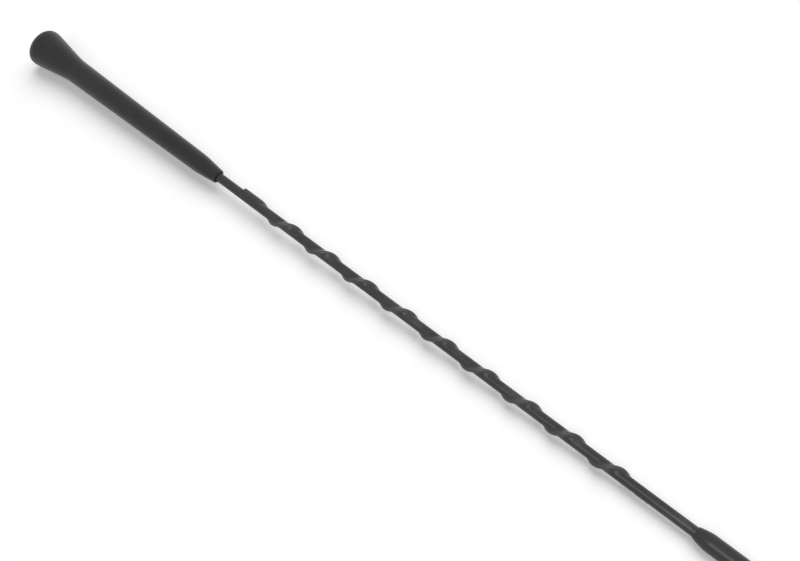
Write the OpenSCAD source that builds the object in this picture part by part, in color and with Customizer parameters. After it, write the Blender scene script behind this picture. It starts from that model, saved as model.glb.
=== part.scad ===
// Car mast aerial for a roof base: a moulded rubber boot with a flared skirt, a threaded base, a loading
// coil, a fibreglass rod with a spiral cord shrunk under one sleeve, and a moulded tip cap.
// Every piece is drawn upright, with z running from the rim of the boot to the tip. The whole mast is then
// laid down: it rests on the widest ring of the boot and on the tip cap.

/* [Boot] */
// Length of the boot, rim to nose
boot_l = 119; // [100:0.5:150]
// Diameter of the flared skirt at its widest ring
flare_d = 18.15; // [17.6:0.05:19]
// Length of the flared part of the boot
flare_l = 25; // [22:0.5:30]
// Radius of the rounded rim
rim_round = 2.8; // [1.8:0.1:2.9]
// Width of the ring that stays at the largest diameter
crest_w = 1; // [0.6:0.1:2]
// Diameter of the grip where the flare ends
grip_d = 11.6; // [11.2:0.05:12.4]
// Diameter of the grip where the nose starts to narrow
grip_tip_d = 9.05; // [8.8:0.05:9.6]
// Length of the narrowing nose
nose_l = 12.5; // [10:0.5:14]
// Diameter of the nose at its end face, before its edge is rounded
nose_d = 6.6; // [6.3:0.1:6.8]
// Radius of the rounded edge at the nose
nose_round = 0.6; // [0.4:0.1:0.6]
// Diameter of the shallow recess in the nose, round the sleeve
nose_recess_d = 5; // [4.6:0.1:5]
// Depth of the recess in the nose
nose_recess_h = 1.2; // [0.6:0.1:2]

/* [Skirt and base] */
// Inner diameter of the hollow skirt
skirt_bore_d = 11.4; // [11:0.1:11.6]
// Depth of the hollow skirt, rim to ferrule
skirt_depth = 9; // [8.5:0.5:11]
// Thread diameter of the stud
stud_d = 5; // [4:1:6]
// Length of the stud outside the ferrule
stud_out = 8; // [5:0.5:8]
// Length of the stud inside the ferrule
stud_in = 7; // [5:0.5:8]
// Chamfer at both ends of the stud
stud_chamfer = 0.6; // [0.3:0.1:0.8]
// Width of the relief between the thread and the ferrule
relief_w = 0.8; // [0.5:0.1:1.5]
// Depth of the relief
relief_h = 0.4; // [0.3:0.1:0.6]
// Diameter of the ferrule's flange
ferrule_flange_d = 10.4; // [9.4:0.1:10.6]
// Thickness of the ferrule's flange
ferrule_flange_h = 2; // [1.4:0.1:3]
// Diameter of the ferrule's barrel
barrel_d = 7.6; // [7.2:0.1:8.4]
// Length of the ferrule's barrel
barrel_l = 15; // [13:0.5:17]
// Width of each moulding groove round the barrel
groove_w = 1.6; // [1:0.1:2]
// Depth of each moulding groove
groove_h = 0.5; // [0.3:0.1:0.6]
// Number of moulding grooves
groove_count = 3; // [2:1:4]
// Length of the neck that grips the rod
neck_l = 6; // [4:0.5:8]
// Depth of the rod's seat in the ferrule
rod_seat = 12; // [8:0.5:12]

/* [Coil] */
// Diameter of the coil former's tube
former_d = 4.4; // [4:0.1:4.6]
// Diameter of the coil former's end flanges
former_flange_d = 6; // [5.8:0.1:6.2]
// Thickness of each end flange of the former
former_flange_h = 1.2; // [0.8:0.1:2]
// Length of solid rubber from the coil's collar to the end of the nose
nose_cover_l = 22.5; // [16:0.5:36]
// Diameter of the coil's wire
coil_wire_d = 0.6; // [0.4:0.05:0.65]
// Pitch of the coil's turns
coil_pitch = 1.2; // [1.1:0.05:2]
// Thickness of the enamel on the wire, stripped from its leads
enamel_t = 0.03; // [0.02:0.01:0.06]
// Length of the lead that lies along the ferrule's neck
lead_on_neck = 4; // [2:0.5:5]
// Length of the collar that joins the coil to the radiator
collar_l = 3; // [2:0.5:5]
// Wall of the sleeve over the coil
coil_sleeve_wall = 0.3; // [0.2:0.05:0.4]

/* [Rod and spiral] */
// Length of the sleeved rod between the boot and the tip cap
exposed_l = 258; // [220:0.5:300]
// Diameter of the fibreglass rod
rod_d = 2.8; // [2.6:0.1:3]
// Diameter of the radiator wire
radiator_d = 0.25; // [0.2:0.05:0.35]
// Pitch of the radiator wire round the rod
radiator_pitch = 30; // [24:1:50]
// Length of bare rod above the end of the radiator wire
radiator_stop = 1; // [0.5:0.5:4]
// Wall of the outer sleeve at the boot
sleeve_wall_boot = 0.4; // [0.3:0.01:0.45]
// Wall of the outer sleeve at the tip
sleeve_wall_tip = 0.57; // [0.45:0.01:0.6]
// Diameter of the spiral cord
cord_d = 1.05; // [0.8:0.05:1.3]
// Distance from the boot's nose to the start of the cord
cord_start = 14.5; // [8:0.5:20]
// Length of the straight lead of the cord
cord_lead_l = 7.5; // [4:0.5:12]
// Pitch of the spiral
cord_pitch = 22; // [18:0.5:28]
// Length over which the cord bends into and out of the spiral
cord_bend_l = 4; // [2:0.5:6]
// Length of the straight tail of the cord
cord_tail_l = 5.1; // [2:0.1:8]
// Length of bare rod from the end of the cord to the tip cap
cord_end_gap = 21.2; // [8:0.1:40]
// Side of the mast on which the cord starts, in degrees round the mast from its underside
cord_side = 112; // [0:1:359]
// Length over which the sleeve climbs onto each cut end of the cord
tent_l = 0.9; // [0.5:0.1:2]

/* [Tip cap] */
// Diameter of the tip cap
cap_d = 7.8; // [7.2:0.1:8.4]
// Length of the tip cap
cap_l = 32; // [28:1:38]
// Diameter of the cap's lip
cap_lip_d = 5.15; // [5.1:0.05:5.6]
// Length of the shoulder from the lip to the full diameter
cap_shoulder_l = 6.4; // [5.5:0.1:8]
// Depth of the socket in the cap
cap_socket_l = 18; // [14:1:20]
// Length of the domed end of the cap
cap_dome_l = 3.4; // [2:0.1:3.7]

/* [Fit] */
// Clearance between pieces that seat in each other
fit_gap = 0.05; // [0.04:0.01:0.07]

/* [Hidden] */
$fn = 96;
// Room that a cut takes past the face it starts from
past = 1;

// Colours
rubber = [0.1, 0.1, 0.105];
plastic = [0.13, 0.13, 0.135];
steel = [0.72, 0.73, 0.75];
brass = [0.78, 0.64, 0.33];
copper = [0.72, 0.42, 0.26];
resin = [0.78, 0.76, 0.62];
nylon = [0.82, 0.82, 0.8];

// Radii of the boot
flare_r = flare_d / 2;
grip_r = grip_d / 2;
grip_tip_r = grip_tip_d / 2;
nose_r = nose_d / 2;
crest_z = rim_round + crest_w;
nose_z = boot_l - nose_l;
grip_slope = (grip_r - grip_tip_r) / (nose_z - flare_l);
// Lengths of the handles that shape the flare and the nose
flare_top_handle = 1.7;
flare_foot_handle = 4;
nose_top_handle = 2;
nose_foot_handle = 4.5;
// Angle at which the narrowing nose runs into its rounded edge
nose_edge_from = 15;

// Heights up the base
ferrule_z = skirt_depth;
barrel_z = ferrule_z + ferrule_flange_h;
neck_z = barrel_z + barrel_l;
neck_top_z = neck_z + neck_l;
neck_d = former_d;
rod_z = neck_top_z - rod_seat;
groove_step = barrel_l / (groove_count + 1);

// Heights up the coil
former_z = neck_top_z + fit_gap;
collar_top_z = boot_l - nose_cover_l;
collar_z = collar_top_z - collar_l;
former_l = collar_z - fit_gap - former_z;
winding_z = former_z + former_flange_h;
winding_l = former_l - 2 * former_flange_h;
collar_d = former_flange_d;
lead_r = former_d / 2 + fit_gap + coil_wire_d / 2;
coil_sleeve_z = neck_z + fit_gap;
coil_sleeve_bore_d = former_flange_d + 2 * fit_gap;
coil_sleeve_d = coil_sleeve_bore_d + 2 * coil_sleeve_wall;
coil_lead_d = coil_wire_d - 2 * enamel_t;
coil_turns = floor((winding_l - 2 * fit_gap - 2 * coil_wire_d) / coil_pitch);

// Radii round the rod, from its skin outwards
rod_r = rod_d / 2;
radiator_r = rod_r + fit_gap + radiator_d / 2;
sleeve_bore_r = radiator_r + radiator_d / 2 + fit_gap;
cord_r = cord_d / 2;
cord_axis_r = sleeve_bore_r + cord_r;

// Heights up the rod
sleeve_z = collar_top_z + fit_gap;
cap_z = boot_l + exposed_l;
socket_z = cap_z + cap_socket_l;
sleeve_top_z = socket_z - fit_gap;
rod_top_z = socket_z - fit_gap;
radiator_top_z = rod_top_z - radiator_stop;
cord_z = boot_l + cord_start;
bend_z = cord_z + cord_lead_l;
cord_top_z = cap_z - cord_end_gap;
unbend_z = cord_top_z - cord_tail_l;
cord_turns = (unbend_z - bend_z - cord_bend_l) / cord_pitch;
mast_l = cap_z + cap_l;

// Fineness of the swept pieces
stations_per_turn = 14;
wire_stations_per_turn = 16;
cord_sides = 6;
wire_sides = 4;
// Points of one sleeve section on each side of the cord, and along the bare side of the rod
arc_shares = [0, 0.55, 1];
bare_steps = 4;
// Half of the widest angle between two points on the bare side
bare_half_step = 15;

// Radii of the tip cap
cap_r = cap_d / 2;
cap_lip_r = cap_lip_d / 2;
cap_dome_z = mast_l - cap_dome_l;
// Handles that shape the cap's shoulder, as [outwards, upwards]
cap_lip_handle = [0.47, 1.36];
cap_shoulder_handle = [0.14, 1.7];

// Lying pose: the widest ring of the boot and the far end of the cap's straight part touch the floor
lie_tilt = atan((flare_r - cap_r) / (cap_dome_z - crest_z));
lie_z = crest_z * sin(lie_tilt) + flare_r * cos(lie_tilt);
rim_reach = rim_round * (cos(lie_tilt) - 1) - (flare_r - rim_round) * sin(lie_tilt);
tip_reach = cap_dome_z * cos(lie_tilt) + norm([cap_dome_l * cos(lie_tilt), cap_r * sin(lie_tilt)]);
lie_x = -(rim_reach + tip_reach) / 2;

// Points of a cubic curve between two ends, each with its handle
function curve(a, b, c, d, steps = 16) = [
    for (i = [0:steps])
        let (t = i / steps, u = 1 - t)
        u * u * u * a + 3 * u * u * t * b + 3 * u * t * t * c + t * t * t * d
];

// Points of an arc of the ellipse with half widths w and h round a centre
function arc(centre, w, h, from, to, steps = 12) = [
    for (i = [0:steps])
        let (t = from + (to - from) * i / steps)
        centre + [w * cos(t), h * sin(t)]
];

// Turns that the cord has made at height z: none along its lead, then an eased start, a steady
// spiral and an eased end
function cord_turned(z) =
    let (
        u = max(0, min(z, unbend_z) - bend_z),
        run = unbend_z - bend_z,
        e = cord_bend_l,
        head = min(u, e),
        body = max(0, min(u, run - e) - e),
        foot = max(0, u - (run - e))
    )
    (head * head / (2 * e) + body + foot - foot * foot / (2 * e)) / cord_pitch;

// Turns per millimetre at height z
function cord_rate(z) =
    (z <= bend_z || z >= unbend_z) ? 0
    : min(1, (z - bend_z) / cord_bend_l, (unbend_z - z) / cord_bend_l) / cord_pitch;

// Angle of the cord round the mast: a left-hand spiral
function cord_angle(z) = cord_side - 360 * cord_turned(z);

// Share by which a width square to the cord grows when it is measured round the mast
function cord_stretch(z) = 1 / cos(atan(2 * PI * cord_axis_r * cord_rate(z)));

// Angle at which a skin that is stretched over a rod and a cord leaves the rod
function skin_lean(rod, cord) = acos((rod - cord) / cord_axis_r);

// Angle at which that skin leaves the cord
function skin_foot(rod, cord) =
    let (lean = skin_lean(rod, cord))
    atan2(cord * sin(lean), cord_axis_r + cord * cos(lean));

// Radius of that skin at an angle t from the cord: round the cord, straight down the tent, round the rod
function skin_r(t, rod, cord) =
    let (lean = skin_lean(rod, cord), foot = skin_foot(rod, cord))
    t >= lean ? rod
    : t >= foot ? rod / cos(lean - t)
    : cord_axis_r * cos(t) + sqrt(cord * cord - pow(cord_axis_r * sin(t), 2));

// Height of the skin over the cord as a share of its full height: it climbs onto each cut end
function skin_climb(z) =
    max(0, min(1, 1 - (cord_z - z) / tent_l, 1 - (z - cord_top_z) / tent_l));

// Angles from the cord at which one half of a section has its points
function skin_angles(rod, cord) =
    let (lean = skin_lean(rod, cord), foot = skin_foot(rod, cord))
    [for (s = arc_shares) s * foot, (foot + lean) / 2, lean];

// One half of a section as [angle round the mast, radius] pairs, from the cord to the far side of the rod
function skin_half(z, rod, cord) =
    let (
        tent = skin_angles(rod, cord),
        wide = cord_stretch(z),
        lean = wide * tent[len(tent) - 1],
        up = skin_climb(z)
    )
    [
        for (t = tent) [t * wide, rod + up * (skin_r(t, rod, cord) - rod)],
        for (i = [1:bare_steps]) [lean + (180 - lean) * i / bare_steps, rod]
    ];

// A whole section of the skin at height z
function skin_ring(z, rod, cord) =
    let (half = skin_half(z, rod, cord), n = len(half), at = cord_angle(z))
    [
        for (i = [0:n - 1]) [half[i][1] * cos(at + half[i][0]), half[i][1] * sin(at + half[i][0]), z],
        for (i = [n - 2:-1:1]) [half[i][1] * cos(at - half[i][0]), half[i][1] * sin(at - half[i][0]), z]
    ];

// A section of the cord itself at height z, drawn in the same stretched angles
function cord_ring(z) = [
    for (i = [0:cord_sides - 1])
        let (
            p = [cord_axis_r + cord_r * cos(360 * i / cord_sides), cord_r * sin(360 * i / cord_sides)],
            at = cord_angle(z) + atan2(p[1], p[0]) * cord_stretch(z)
        )
        [norm(p) * cos(at), norm(p) * sin(at), z]
];

// A section of the radiator wire at height z
function wire_ring(z) = [
    for (i = [0:wire_sides - 1])
        let (
            r = radiator_r + radiator_d / 2 * cos(360 * i / wire_sides),
            side = radiator_d / 2 * sin(360 * i / wire_sides),
            at = 360 * (z - collar_top_z) / radiator_pitch + atan2(side, r)
        )
        [norm([r, side]) * cos(at), norm([r, side]) * sin(at), z]
];

// Wall of the outer sleeve at height z
function sleeve_wall(z) =
    sleeve_wall_boot + (sleeve_wall_tip - sleeve_wall_boot) * max(0, z - boot_l) / (socket_z - boot_l);

// Heights of the sections along the cord
cord_steps = ceil(cord_turns * stations_per_turn);
spiral_heights = [for (i = [0:cord_steps]) bend_z + (unbend_z - bend_z) * i / cord_steps];
cord_heights = concat([cord_z], spiral_heights, [cord_top_z]);
sleeve_heights = concat([sleeve_z, boot_l, cord_z - tent_l], cord_heights, [cord_top_z + tent_l, sleeve_top_z]);
wire_steps = ceil((radiator_top_z - collar_top_z) / radiator_pitch * wire_stations_per_turn);
wire_heights = [for (i = [0:wire_steps]) collar_top_z + (radiator_top_z - collar_top_z) * i / wire_steps];

// Factor that keeps the flat facets of the sleeve's bore outside the round that they stand for
bore_swell = 1 / (cos(180 / stations_per_turn) * cos(bare_half_step));

// Triangles between two rings of n points. Each pair of them meets along the short way across, because the
// rings of the spiral turn backwards as they climb.
function strip(low, high, n) = [
    for (i = [0:n - 1])
        let (j = (i + 1) % n)
        each [[low + i, high + i, high + j], [low + i, high + j, low + j]]
];

// The same triangles turned over
function turned_over(faces) = [for (f = faces) [f[2], f[1], f[0]]];

// A solid swept through rings of n points
module sweep(rings) {
    n = len(rings[0]);
    last = (len(rings) - 1) * n;
    polyhedron(
        points = [for (r = rings) each r],
        faces = concat(
            [for (k = [0:len(rings) - 2]) each strip(k * n, (k + 1) * n, n)],
            [[for (i = [0:n - 1]) i]],
            [[for (i = [n - 1:-1:0]) last + i]]
        ),
        convexity = 10
    );
}

// A tube swept between outer and inner rings of n points
module sweep_tube(outer, inner) {
    n = len(outer[0]);
    m = len(outer);
    last = (m - 1) * n;
    polyhedron(
        points = concat([for (r = outer) each r], [for (r = inner) each r]),
        faces = concat(
            [for (k = [0:m - 2]) each strip(k * n, (k + 1) * n, n)],
            [for (k = [0:m - 2]) each turned_over(strip((m + k) * n, (m + k + 1) * n, n))],
            turned_over(strip(0, m * n, n)),
            strip(last, m * n + last, n)
        ),
        convexity = 10
    );
}

// A plain round stretch of a piece
module round_bar(z, l, d) {
    translate([0, 0, z]) cylinder(h = l, d = d);
}

// Lays a piece down from its upright drawing
module lie() {
    translate([lie_x, 0, lie_z]) rotate([0, 90 + lie_tilt, 0]) children();
}

// Half outline of the boot as [radius, height]: rounded rim, crest, flare, tapering grip and nose
function boot_outline() = concat(
    [[0, 0]],
    arc([flare_r - rim_round, rim_round], rim_round, rim_round, -90, 0),
    curve(
        [flare_r, crest_z],
        [flare_r, crest_z + flare_top_handle],
        [grip_r + grip_slope * flare_foot_handle, flare_l - flare_foot_handle],
        [grip_r, flare_l]
    ),
    curve(
        [grip_tip_r, nose_z],
        [grip_tip_r - grip_slope * nose_top_handle, nose_z + nose_top_handle],
        [nose_r + (grip_tip_r - nose_r) * nose_foot_handle / nose_l, boot_l - nose_foot_handle],
        [nose_r, boot_l - nose_round]
    ),
    arc([nose_r - nose_round, boot_l - nose_round], nose_round, nose_round, nose_edge_from, 90),
    [[0, boot_l]]
);

// Half outline of the tip cap: lip, shoulder, straight part and dome
function cap_outline() = concat(
    [[0, cap_z]],
    curve(
        [cap_lip_r, cap_z],
        [cap_lip_r, cap_z] + cap_lip_handle,
        [cap_r, cap_z + cap_shoulder_l] - cap_shoulder_handle,
        [cap_r, cap_z + cap_shoulder_l]
    ),
    arc([0, cap_dome_z], cap_r, cap_dome_l, 0, 90)
);

// Moulded rubber boot, hollow for the base, the coil and the sleeved rod
module boot() {
    color(rubber) lie() difference() {
        rotate_extrude() polygon(boot_outline());
        round_bar(-past, skirt_depth + past, skirt_bore_d);
        round_bar(ferrule_z - past, ferrule_flange_h + fit_gap + past, ferrule_flange_d + 2 * fit_gap);
        round_bar(barrel_z, barrel_l + fit_gap, barrel_d + 2 * fit_gap);
        round_bar(neck_z, collar_top_z + fit_gap - neck_z, coil_sleeve_d + 2 * fit_gap);
        round_bar(neck_z, boot_l - neck_z + past, 2 * (sleeve_bore_r + sleeve_wall_boot + fit_gap));
        round_bar(boot_l - nose_recess_h, nose_recess_h + past, nose_recess_d);
    }
}

// Steel stud, screwed halfway into the ferrule, with a relief at the ferrule's face; its thread is left plain
module threaded_stud() {
    l = stud_in + stud_out;
    r = stud_d / 2;
    relief_r = r - relief_h;
    color(steel) lie() translate([0, 0, ferrule_z - stud_out]) rotate_extrude() polygon([
        [0, 0],
        [r - stud_chamfer, 0],
        [r, stud_chamfer],
        [r, stud_out - relief_w],
        [relief_r, stud_out - relief_w],
        [relief_r, stud_out],
        [r, stud_out],
        [r, l - stud_chamfer],
        [r - stud_chamfer, l],
        [0, l]
    ]);
}

// Turned brass ferrule: flange, grooved barrel that the rubber grips, and the neck round the rod
module base_ferrule() {
    color(brass) lie() difference() {
        union() {
            round_bar(ferrule_z, ferrule_flange_h, ferrule_flange_d);
            round_bar(ferrule_z, neck_z - ferrule_z, barrel_d);
            round_bar(ferrule_z, neck_top_z - ferrule_z, neck_d);
        }
        for (i = [1:groove_count])
            translate([0, 0, barrel_z + i * groove_step - groove_w / 2]) difference() {
                cylinder(h = groove_w, d = barrel_d + past);
                translate([0, 0, -past]) cylinder(h = groove_w + 2 * past, d = barrel_d - 2 * groove_h);
            }
        round_bar(ferrule_z - past, stud_in + fit_gap + past, stud_d + 2 * fit_gap);
        round_bar(rod_z - fit_gap, rod_seat + fit_gap + past, rod_d + 2 * fit_gap);
    }
}

// Slot through a flange of the former for the coil's lead
module lead_slot(z, h) {
    w = coil_wire_d + 2 * fit_gap;
    translate([lead_r - w / 2, -w / 2, z]) cube([former_flange_d, w, h]);
}

// Moulded spool that carries the coil on the rod
module coil_former() {
    color(plastic) lie() difference() {
        union() {
            round_bar(former_z, former_l, former_d);
            round_bar(former_z, former_flange_h, former_flange_d);
            round_bar(former_z + former_l - former_flange_h, former_flange_h, former_flange_d);
        }
        round_bar(former_z - past, former_l + 2 * past, rod_d + 2 * fit_gap);
        lead_slot(former_z - past, former_flange_h + past);
        lead_slot(former_z + former_l - former_flange_h, former_flange_h + past);
    }
}

// Half outline of the winding: a flat last turn at each end and one ridge for each turn between them
function winding_outline() =
    let (
        inner = former_d / 2 + fit_gap,
        wire = coil_wire_d / 2,
        low = winding_z + fit_gap,
        high = winding_z + winding_l - fit_gap,
        first = (low + high - coil_turns * coil_pitch) / 2
    )
    concat(
        [[inner, low], [lead_r + wire, low], [lead_r + wire, low + coil_wire_d], [lead_r, low + coil_wire_d]],
        [
            for (i = [0:coil_turns - 1])
                each arc([lead_r, first + (i + 0.5) * coil_pitch], wire, wire, -90, 90, 4)
        ],
        [[lead_r, high - coil_wire_d], [lead_r + wire, high - coil_wire_d], [lead_r + wire, high], [inner, high]]
    );

// Enamelled copper loading coil with a bared lead to the ferrule's neck and one to the collar
module loading_coil() {
    low = winding_z + fit_gap + coil_wire_d / 2;
    high = winding_z + winding_l - fit_gap - coil_wire_d / 2;
    color(copper) lie() union() {
        rotate_extrude() polygon(winding_outline());
        translate([lead_r, 0, neck_top_z - lead_on_neck])
            cylinder(h = low - neck_top_z + lead_on_neck, d = coil_lead_d);
        translate([lead_r, 0, high]) cylinder(h = collar_z - high, d = coil_lead_d);
    }
}

// Shrunk tube that keeps the rubber off the coil while the boot is moulded
module coil_sleeve() {
    color(plastic) lie() difference() {
        round_bar(coil_sleeve_z, collar_top_z - coil_sleeve_z, coil_sleeve_d);
        round_bar(coil_sleeve_z - past, collar_top_z - coil_sleeve_z + 2 * past, coil_sleeve_bore_d);
    }
}

// Brass collar on the rod, soldered to the coil below and to the radiator wire above
module coil_collar() {
    color(brass) lie() difference() {
        round_bar(collar_z, collar_l, collar_d);
        round_bar(collar_z - past, collar_l + 2 * past, rod_d + 2 * fit_gap);
    }
}

// Flexible fibreglass rod from the ferrule to the tip
module core_rod() {
    color(resin) lie() round_bar(rod_z, rod_top_z - rod_z, rod_d);
}

// Copper radiator wire wound up the rod in an open helix
module radiator_wire() {
    color(copper) lie() sweep([for (z = wire_heights) wire_ring(z)]);
}

// Plastic cord that breaks up the wind: a straight lead, a left-hand spiral and a short tail
module spiral_cord() {
    color(nylon) lie() sweep([for (z = cord_heights) cord_ring(z)]);
}

// Heat-shrunk sleeve, stretched like a tent over the rod and the cord
module shrink_sleeve() {
    color(plastic) lie() sweep_tube(
        [for (z = sleeve_heights) skin_ring(z, sleeve_bore_r + sleeve_wall(z), cord_r + fit_gap + sleeve_wall(z))],
        [for (z = sleeve_heights) skin_ring(z, sleeve_bore_r * bore_swell, cord_r + fit_gap)]
    );
}

// Moulded tip cap, pushed over the end of the sleeve
module tip_cap() {
    color(rubber) lie() difference() {
        rotate_extrude() polygon(cap_outline());
        round_bar(cap_z - past, cap_socket_l + past, 2 * (sleeve_bore_r + sleeve_wall(socket_z) + fit_gap));
    }
}

boot();
threaded_stud();
base_ferrule();
coil_former();
loading_coil();
coil_sleeve();
coil_collar();
core_rod();
radiator_wire();
spiral_cord();
shrink_sleeve();
tip_cap();
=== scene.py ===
"""Dresses the car mast aerial: smooth skins over its solids, their finishes, and a plain studio round it.

Every piece is drawn upright in millimetres, with z running from the rim of the boot to the tip and angles
running round the mast from its underside. MastLine turns the drawing down onto the floor, in metres.
"""

from __future__ import annotations

import logging
from dataclasses import dataclass, field
from enum import Enum

import bpy
import numpy as np
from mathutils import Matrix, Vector

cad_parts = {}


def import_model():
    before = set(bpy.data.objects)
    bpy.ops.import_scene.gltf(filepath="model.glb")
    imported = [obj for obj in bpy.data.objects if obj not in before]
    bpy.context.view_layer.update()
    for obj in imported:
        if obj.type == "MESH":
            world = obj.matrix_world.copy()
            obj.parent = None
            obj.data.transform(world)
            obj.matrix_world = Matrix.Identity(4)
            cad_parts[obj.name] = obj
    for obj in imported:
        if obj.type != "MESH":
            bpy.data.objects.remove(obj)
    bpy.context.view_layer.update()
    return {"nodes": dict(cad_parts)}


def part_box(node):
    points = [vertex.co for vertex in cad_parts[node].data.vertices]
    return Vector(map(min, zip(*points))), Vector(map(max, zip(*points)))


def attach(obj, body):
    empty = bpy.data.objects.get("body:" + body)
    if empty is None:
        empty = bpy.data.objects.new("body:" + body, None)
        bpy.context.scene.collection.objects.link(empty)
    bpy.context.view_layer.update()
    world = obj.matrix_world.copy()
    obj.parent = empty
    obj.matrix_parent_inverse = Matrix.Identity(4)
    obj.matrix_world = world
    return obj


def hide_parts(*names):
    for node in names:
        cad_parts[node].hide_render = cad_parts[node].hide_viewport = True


Array = np.ndarray
Place = np.ndarray | list[float]
Triple = tuple[float, float, float]
Colour = tuple[float, float, float]
Band = tuple[float, float]
Socket = bpy.types.NodeSocket

MM = 0.001
TURN = 2 * np.pi
BODY = "root"

log = logging.getLogger("mast")


class Hand(Enum):
    """The sense in which a helix turns as it climbs."""

    LEFT = -1
    RIGHT = 1


# Curves and surfaces


def bezier(a: Place, b: Place, c: Place, d: Place, steps: int = 40) -> Array:
    """Points of a cubic curve: u^3 a + 3 u^2 t b + 3 u t^2 c + t^3 d, with u = 1 - t.

    Args:
        a: Start of the curve.
        b: Handle of the start.
        c: Handle of the end.
        d: End of the curve.
        steps: Number of spans between the points.

    Returns:
        The points, one row each.
    """
    t = np.linspace(0, 1, steps + 1)[:, None]
    u = 1 - t
    a, b, c, d = (np.asarray(point) for point in (a, b, c, d))
    return u**3 * a + 3 * u**2 * t * b + 3 * u * t**2 * c + t**3 * d


def arc(centre: Place, wide: float, high: float, start: float, end: float, steps: int = 16) -> Array:
    """Points of an ellipse's arc: centre + (wide cos a, high sin a).

    Args:
        centre: Centre of the ellipse.
        wide: Half width.
        high: Half height.
        start: First angle, in degrees.
        end: Last angle, in degrees.
        steps: Number of spans between the points.

    Returns:
        The points, one row each.
    """
    angle = np.radians(np.linspace(start, end, steps + 1))
    return np.asarray(centre) + np.stack([wide * np.cos(angle), high * np.sin(angle)], axis=1)


def eased_corners(outline: Array, ease: float, most: float = 0.4, steps: int = 4) -> Array:
    """Replaces each corner of an outline by a small curve that starts and ends a short way from it.

    Each corner p becomes u^2 p0 + 2 u t p + t^2 p1, where p0 and p1 lie at the given distance along the
    two edges that meet at p. The two ends of the outline stay.

    Args:
        outline: Points of the outline.
        ease: Distance from the corner at which the curve starts and ends.
        most: Share of an edge that one curve may take up.
        steps: Number of spans in each curve.

    Returns:
        The points of the eased outline.
    """
    edge = np.diff(outline, axis=0)
    length = np.linalg.norm(edge, axis=1, keepdims=True)
    reach = np.minimum(ease, length * most)
    before = outline[1:-1] - edge[:-1] / length[:-1] * reach[:-1]
    after = outline[1:-1] + edge[1:] / length[1:] * reach[1:]
    t = np.linspace(0, 1, steps + 1)[None, :, None]
    u = 1 - t
    curves = u**2 * before[:, None] + 2 * u * t * outline[1:-1, None] + t**2 * after[:, None]
    return np.concatenate([outline[:1], curves.reshape(-1, outline.shape[1]), outline[-1:]])


@dataclass(frozen=True)
class Skin:
    """A closed surface in the upright drawing.

    Attributes:
        points: Points in millimetres, one row each.
        faces: Four or three point numbers for each face, seen from outside against the clock.
        marks: Named values at the points, which the finishes read.
    """

    points: Array
    faces: list[list[int]]
    marks: dict[str, Array] = field(default_factory=dict)


def wrapped_quads(rows: int, columns: int, closed: bool) -> Array:
    """Joins a grid of points by quads (i, j), (i, j + 1), (i + 1, j + 1), (i + 1, j).

    Args:
        rows: Number of rows.
        columns: Number of columns, of which the last is joined to the first.
        closed: Whether the last row is joined to the first as well.

    Returns:
        Four point numbers for each quad.
    """
    i = np.arange(rows if closed else rows - 1)[:, None]
    j = np.arange(columns)[None, :]
    next_i = (i + 1) % rows
    next_j = (j + 1) % columns
    corners = [i * columns + j, i * columns + next_j, next_i * columns + next_j, next_i * columns + j]
    return np.stack(np.broadcast_arrays(*corners), axis=-1).reshape(-1, 4)


def ring_skin(grid: Array, marks: dict[str, Array] | None = None) -> Skin:
    """Closes a grid whose rows are rings, with its last row joined to its first.

    Args:
        grid: Points by row and column.
        marks: Named values by row and column.

    Returns:
        The closed surface.
    """
    rows, columns = grid.shape[:2]
    faces = wrapped_quads(rows, columns, True).tolist()
    flat = {name: value.reshape(-1) for name, value in (marks or {}).items()}
    return Skin(grid.reshape(-1, 3), faces, flat)


def capped_skin(grid: Array, foot: Place, head: Place, marks: dict[str, Array] | None = None) -> Skin:
    """Closes a grid whose rows are rings, with a fan of triangles to a point at each end.

    Args:
        grid: Points by row and column.
        foot: Point that closes the first row.
        head: Point that closes the last row.
        marks: Named values by row and column.

    Returns:
        The closed surface.
    """
    rows, columns = grid.shape[:2]
    j = np.arange(columns)
    next_j = (j + 1) % columns
    first = rows * columns
    low = np.stack([np.full(columns, first), next_j, j], axis=1)
    top = (rows - 1) * columns
    high = np.stack([np.full(columns, first + 1), top + j, top + next_j], axis=1)
    faces = wrapped_quads(rows, columns, False).tolist() + low.tolist() + high.tolist()
    flat = {
        name: np.concatenate([value.reshape(-1), [value[0].mean(), value[-1].mean()]])
        for name, value in (marks or {}).items()
    }
    return Skin(np.concatenate([grid.reshape(-1, 3), [foot, head]]), faces, flat)


def full_turn(count: int) -> Array:
    """Angles that part a full turn evenly, in radians."""
    return TURN * np.arange(count) / count


def round_mast(radius: float | Array, angle: Array, height: Array) -> Array:
    """Points (r cos a, r sin a, z) for radii, angles and heights that broadcast together."""
    radius, angle, height = np.broadcast_arrays(radius, angle, height)
    return np.stack([radius * np.cos(angle), radius * np.sin(angle), height], axis=-1)


def turned_grid(outline: Array, angles: Array) -> Array:
    """Turns an outline of radii and heights round the mast, with a row for each of its points."""
    return round_mast(outline[:, 0, None], angles, outline[:, 1, None])


def turned_solid(outline: Array, around: int) -> Skin:
    """Turns an outline that starts and ends on the axis into a closed solid.

    Args:
        outline: Points as radius and height, of which the first and the last have no radius.
        around: Number of angles.

    Returns:
        The closed surface.
    """
    grid = turned_grid(outline[1:-1], full_turn(around))
    return capped_skin(grid, [0, 0, outline[0, 1]], [0, 0, outline[-1, 1]])


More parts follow.
